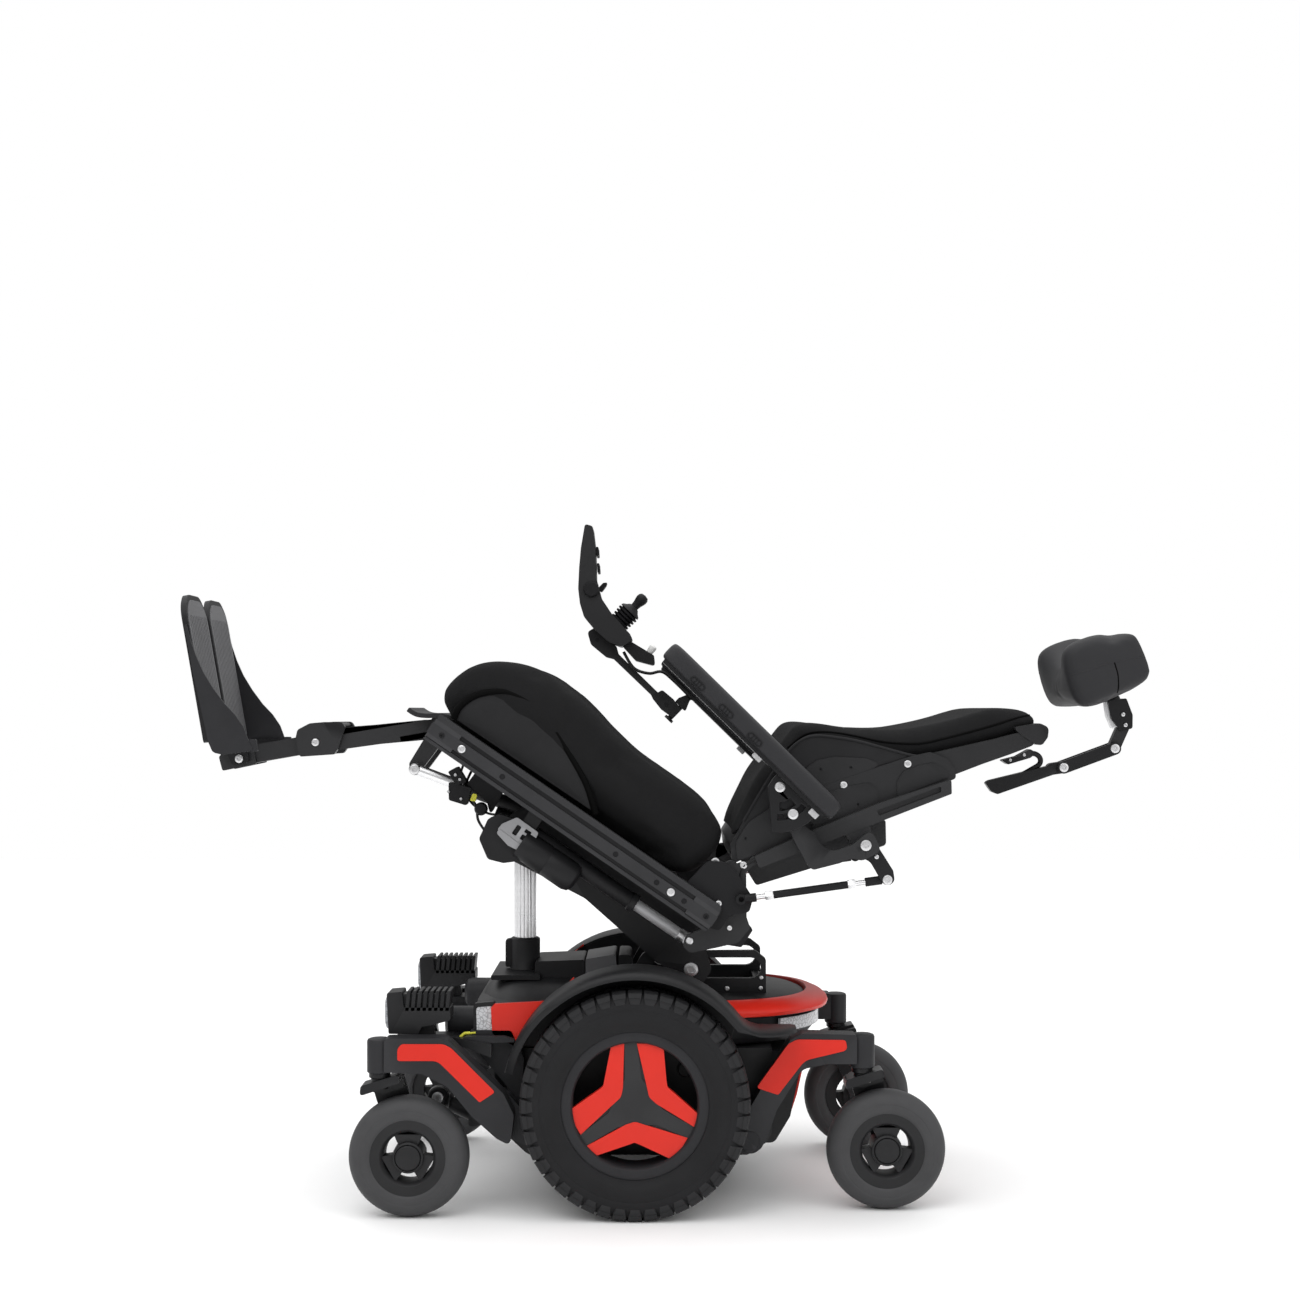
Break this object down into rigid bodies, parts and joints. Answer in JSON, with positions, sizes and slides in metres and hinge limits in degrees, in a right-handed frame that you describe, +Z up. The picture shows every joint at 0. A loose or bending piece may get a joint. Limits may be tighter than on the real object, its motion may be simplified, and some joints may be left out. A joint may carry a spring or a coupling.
{
  "type": "power wheelchair",
  "caption": "Power wheelchair with mid-wheel drive, swivelling casters, tilting seat, reclining back, raised leg rest, armrests, joystick and headrest.",
  "frame": {"origin": "on the ground, at the middle of the chair's length and width", "axes": "+X to the rear of the chair, -Y to the occupant's left, +Z up; the seat is shown tilted back, the back reclined and the legs raised"},
  "size_m": [1.6038, 0.652, 1.1202],
  "materials": {
    "frame_paint": "satin black powder coat",
    "body_plastic": "fine-grained black moulding",
    "trim_red": "satin red lacquer",
    "lamp_glass": "clear lens over a prismatic reflector",
    "tyre_black": "treaded black rubber",
    "tyre_grey": "smooth grey-black rubber",
    "tube_silver": "drawn and anodised",
    "cover_fabric": "stretch knit cover, black",
    "soft_vinyl": "moulded soft skin",
    "knob_rubber": "matt moulded rubber",
    "switch_white": "glossy"
  },
  "bodies": {
    "chassis": {"chassis_frame": "frame_paint", "batteries": "body_plastic", "drive_motors": "body_plastic", "top_shroud": "body_plastic", "trim_panels": "trim_red", "fenders": "body_plastic", "headlights": "body_plastic", "lamp_lenses": "lamp_glass", "column_sleeve": "body_plastic", "tilt_track": "frame_paint", "power_module": "body_plastic"},
    "release_left": {"release_lever_left": "body_plastic"},
    "drive_wheel_left": {"drive_tyre_left": "tyre_black", "drive_rim_left": "body_plastic"},
    "arm_front_left": {"arm_front_left": "body_plastic"},
    "fork_front_left": {"fork_front_left": "frame_paint"},
    "caster_front_left": {"caster_wheel_front_left": "tyre_grey"},
    "arm_rear_left": {"arm_rear_left": "body_plastic"},
    "fork_rear_left": {"fork_rear_left": "frame_paint"},
    "caster_rear_left": {"caster_wheel_rear_left": "tyre_grey"},
    "release_right": {"release_lever_right": "body_plastic"},
    "drive_wheel_right": {"drive_tyre_right": "tyre_black", "drive_rim_right": "body_plastic"},
    "arm_front_right": {"arm_front_right": "body_plastic"},
    "fork_front_right": {"fork_front_right": "frame_paint"},
    "caster_front_right": {"caster_wheel_front_right": "tyre_grey"},
    "arm_rear_right": {"arm_rear_right": "body_plastic"},
    "fork_rear_right": {"fork_rear_right": "frame_paint"},
    "caster_rear_right": {"caster_wheel_rear_right": "tyre_grey"},
    "carriage": {"tilt_carriage": "frame_paint"},
    "lift": {"lift_tube": "tube_silver"},
    "seat": {"seat_frame": "frame_paint", "seat_cushion": "cover_fabric", "recline_actuator": "body_plastic", "legrest_actuator": "body_plastic"},
    "recline_rod": {"recline_rod": "tube_silver"},
    "legrest_rod": {"legrest_rod": "tube_silver"},
    "back": {"back_frame": "frame_paint", "back_shell": "body_plastic", "back_cushion": "cover_fabric", "headrest_bar": "frame_paint"},
    "arm_levers": {"arm_levers": "frame_paint"},
    "arm_links": {"arm_links": "tube_silver"},
    "armrest_left": {"arm_bracket_left": "frame_paint", "arm_pad_left": "soft_vinyl"},
    "armrest_right": {"arm_bracket_right": "frame_paint", "arm_pad_right": "soft_vinyl"},
    "legrest": {"leg_tube": "frame_paint"},
    "leg_slider": {"leg_slider": "frame_paint"},
    "foot_left": {"footplate_left": "body_plastic"},
    "foot_right": {"footplate_right": "body_plastic"},
    "joystick": {"joystick_arm": "frame_paint", "joystick_module": "body_plastic"},
    "gimbal": {"joystick_gimbal": "knob_rubber"},
    "stick": {"joystick_stick": "knob_rubber"},
    "toggle": {"toggle_switch": "switch_white"},
    "paddle": {"module_paddle": "knob_rubber"},
    "head_lower": {"headrest_link_lower": "frame_paint"},
    "head_upper": {"headrest_link_upper": "frame_paint"},
    "head_pad": {"head_pad": "cover_fabric"}
  },
  "joints": [
    {"name": "release_left_lift", "type": "hinge", "parent": "chassis", "child": "release_left", "pos_m": [-0.25916, -0.237, 0.267], "axis": [0, 1, 0], "range_deg": [0, 30]},
    {"name": "drive_wheel_left_spin", "type": "hinge", "parent": "chassis", "child": "drive_wheel_left", "pos_m": [-0.05916, -0.287, 0.178], "axis": [0, 1, 0], "continuous": true},
    {"name": "arm_front_left_swing", "type": "hinge", "parent": "chassis", "child": "arm_front_left", "pos_m": [-0.20916, -0.22, 0.12], "axis": [0, 1, 0], "range_deg": [-5, 6]},
    {"name": "fork_front_left_swivel", "type": "hinge", "parent": "arm_front_left", "child": "fork_front_left", "pos_m": [-0.45616, -0.275, 0.24], "axis": [0, 0, 1], "continuous": true},
    {"name": "caster_front_left_spin", "type": "hinge", "parent": "fork_front_left", "child": "caster_front_left", "pos_m": [-0.41016, -0.275, 0.094], "axis": [0, 1, 0], "continuous": true},
    {"name": "arm_rear_left_swing", "type": "hinge", "parent": "chassis", "child": "arm_rear_left", "pos_m": [0.12084, -0.22, 0.109], "axis": [0, -1, 0], "range_deg": [-5, 6]},
    {"name": "fork_rear_left_swivel", "type": "hinge", "parent": "arm_rear_left", "child": "fork_rear_left", "pos_m": [0.29884, -0.225, 0.24], "axis": [0, 0, 1], "continuous": true},
    {"name": "caster_rear_left_spin", "type": "hinge", "parent": "fork_rear_left", "child": "caster_rear_left", "pos_m": [0.33584, -0.225, 0.094], "axis": [0, 1, 0], "continuous": true},
    {"name": "release_right_lift", "type": "hinge", "parent": "chassis", "child": "release_right", "pos_m": [-0.25916, 0.237, 0.267], "axis": [0, 1, 0], "range_deg": [0, 30]},
    {"name": "drive_wheel_right_spin", "type": "hinge", "parent": "chassis", "child": "drive_wheel_right", "pos_m": [-0.05916, 0.287, 0.178], "axis": [0, 1, 0], "continuous": true},
    {"name": "arm_front_right_swing", "type": "hinge", "parent": "chassis", "child": "arm_front_right", "pos_m": [-0.20916, 0.22, 0.12], "axis": [0, 1, 0], "range_deg": [-5, 6]},
    {"name": "fork_front_right_swivel", "type": "hinge", "parent": "arm_front_right", "child": "fork_front_right", "pos_m": [-0.45616, 0.275, 0.24], "axis": [0, 0, 1], "continuous": true},
    {"name": "caster_front_right_spin", "type": "hinge", "parent": "fork_front_right", "child": "caster_front_right", "pos_m": [-0.41016, 0.275, 0.094], "axis": [0, 1, 0], "continuous": true},
    {"name": "arm_rear_right_swing", "type": "hinge", "parent": "chassis", "child": "arm_rear_right", "pos_m": [0.12084, 0.22, 0.109], "axis": [0, -1, 0], "range_deg": [-5, 6]},
    {"name": "fork_rear_right_swivel", "type": "hinge", "parent": "arm_rear_right", "child": "fork_rear_right", "pos_m": [0.29884, 0.225, 0.24], "axis": [0, 0, 1], "continuous": true},
    {"name": "caster_rear_right_spin", "type": "hinge", "parent": "fork_rear_right", "child": "caster_rear_right", "pos_m": [0.33584, 0.225, 0.094], "axis": [0, 1, 0], "continuous": true},
    {"name": "carriage_slide", "type": "slide", "parent": "chassis", "child": "carriage", "axis": [1, 0, 0], "range_m": [-0.046, 0.1]},
    {"name": "lift_slide", "type": "slide", "parent": "chassis", "child": "lift", "axis": [0, 0, 1], "range_m": [-0.204, 0.093]},
    {"name": "seat_tilt", "type": "hinge", "parent": "carriage", "child": "seat", "pos_m": [0.03084, 0, 0.361], "axis": [0, 1, 0], "range_deg": [-34.4, 15.6]},
    {"name": "back_recline", "type": "hinge", "parent": "seat", "child": "back", "pos_m": [0.07338, 0, 0.52579], "axis": [0, -1, 0], "range_deg": [-27, 28]},
    {"name": "recline_rod_slide", "type": "slide", "parent": "seat", "child": "recline_rod", "axis": [0.8251, 0, -0.565], "range_m": [-0.055, 0.057]},
    {"name": "arm_lever_swing", "type": "hinge", "parent": "back", "child": "arm_levers", "pos_m": [0.30056, 0, 0.57443], "axis": [0, -1, 0], "range_deg": [-21.5, 21]},
    {"name": "arm_link_swing", "type": "hinge", "parent": "seat", "child": "arm_links", "pos_m": [0.10703, 0, 0.4882], "axis": [0, -1, 0], "range_deg": [-29, 30]},
    {"name": "armrest_left_flip", "type": "hinge", "parent": "arm_levers", "child": "armrest_left", "pos_m": [0.30056, -0.255, 0.57443], "axis": [0, 1, 0], "range_deg": [0, 95]},
    {"name": "armrest_right_flip", "type": "hinge", "parent": "arm_levers", "child": "armrest_right", "pos_m": [0.30056, 0.255, 0.57443], "axis": [0, 1, 0], "range_deg": [0, 95]},
    {"name": "legrest_lower", "type": "hinge", "parent": "seat", "child": "legrest", "pos_m": [-0.38476, 0, 0.75586], "axis": [0, -1, 0], "range_deg": [-44, 40.5]},
    {"name": "legrest_rod_slide", "type": "slide", "parent": "seat", "child": "legrest_rod", "axis": [0.9373, 0, -0.3486], "range_m": [-0.061, 0.056]},
    {"name": "leg_length_slide", "type": "slide", "parent": "legrest", "child": "leg_slider", "axis": [-0.9851, 0, -0.1719], "range_m": [-0.015, 0.06]},
    {"name": "footplate_left_fold", "type": "hinge", "parent": "leg_slider", "child": "foot_left", "pos_m": [-0.71893, -0.06, 0.70464], "axis": [0, 1, 0], "range_deg": [0, 75]},
    {"name": "footplate_right_fold", "type": "hinge", "parent": "leg_slider", "child": "foot_right", "pos_m": [-0.71893, 0.06, 0.70464], "axis": [0, 1, 0], "range_deg": [0, 75]},
    {"name": "joystick_swing", "type": "hinge", "parent": "armrest_right", "child": "joystick", "pos_m": [0.01117, 0.264, 0.78247], "axis": [-0.6997, 0, -0.7145], "range_deg": [0, 90]},
    {"name": "joystick_fore_aft", "type": "hinge", "parent": "joystick", "child": "gimbal", "pos_m": [-0.09726, 0.265, 0.94045], "axis": [0, 1, 0], "range_deg": [-18, 18]},
    {"name": "joystick_side", "type": "hinge", "parent": "gimbal", "child": "stick", "pos_m": [-0.09726, 0.265, 0.94045], "axis": [0.7145, 0, -0.6997], "range_deg": [-18, 18]},
    {"name": "toggle_tip", "type": "hinge", "parent": "joystick", "child": "toggle", "pos_m": [-0.03941, 0.265, 0.88519], "axis": [0, 1, 0], "range_deg": [-15, 15]},
    {"name": "paddle_tip", "type": "hinge", "parent": "joystick", "child": "paddle", "pos_m": [-0.12694, 0.265, 1.0059], "axis": [0, 1, 0], "range_deg": [-12, 12]},
    {"name": "headrest_lower_swing", "type": "hinge", "parent": "back", "child": "head_lower", "pos_m": [0.66549, 0, 0.6877], "axis": [0, 1, 0], "range_deg": [-15, 35]},
    {"name": "headrest_upper_swing", "type": "hinge", "parent": "head_lower", "child": "head_upper", "pos_m": [0.75217, 0, 0.72144], "axis": [0, -1, 0], "range_deg": [-30, 15]},
    {"name": "head_pad_tip", "type": "hinge", "parent": "head_upper", "child": "head_pad", "pos_m": [0.74749, 0, 0.80068], "axis": [0, 1, 0], "range_deg": [-18, 18]}
  ],
  "couplings": [
    {"joint": "carriage_slide", "follows": "seat_tilt", "m_per_rad": -0.166},
    {"joint": "lift_slide", "follows": "seat_tilt", "m_per_rad": 0.339},
    {"joint": "recline_rod_slide", "follows": "back_recline", "m_per_rad": 0.114},
    {"joint": "arm_lever_swing", "follows": "back_recline", "ratio": -0.74},
    {"joint": "arm_link_swing", "follows": "back_recline", "ratio": 1.04},
    {"joint": "legrest_rod_slide", "follows": "legrest_lower", "m_per_rad": 0.0784}
  ]
}
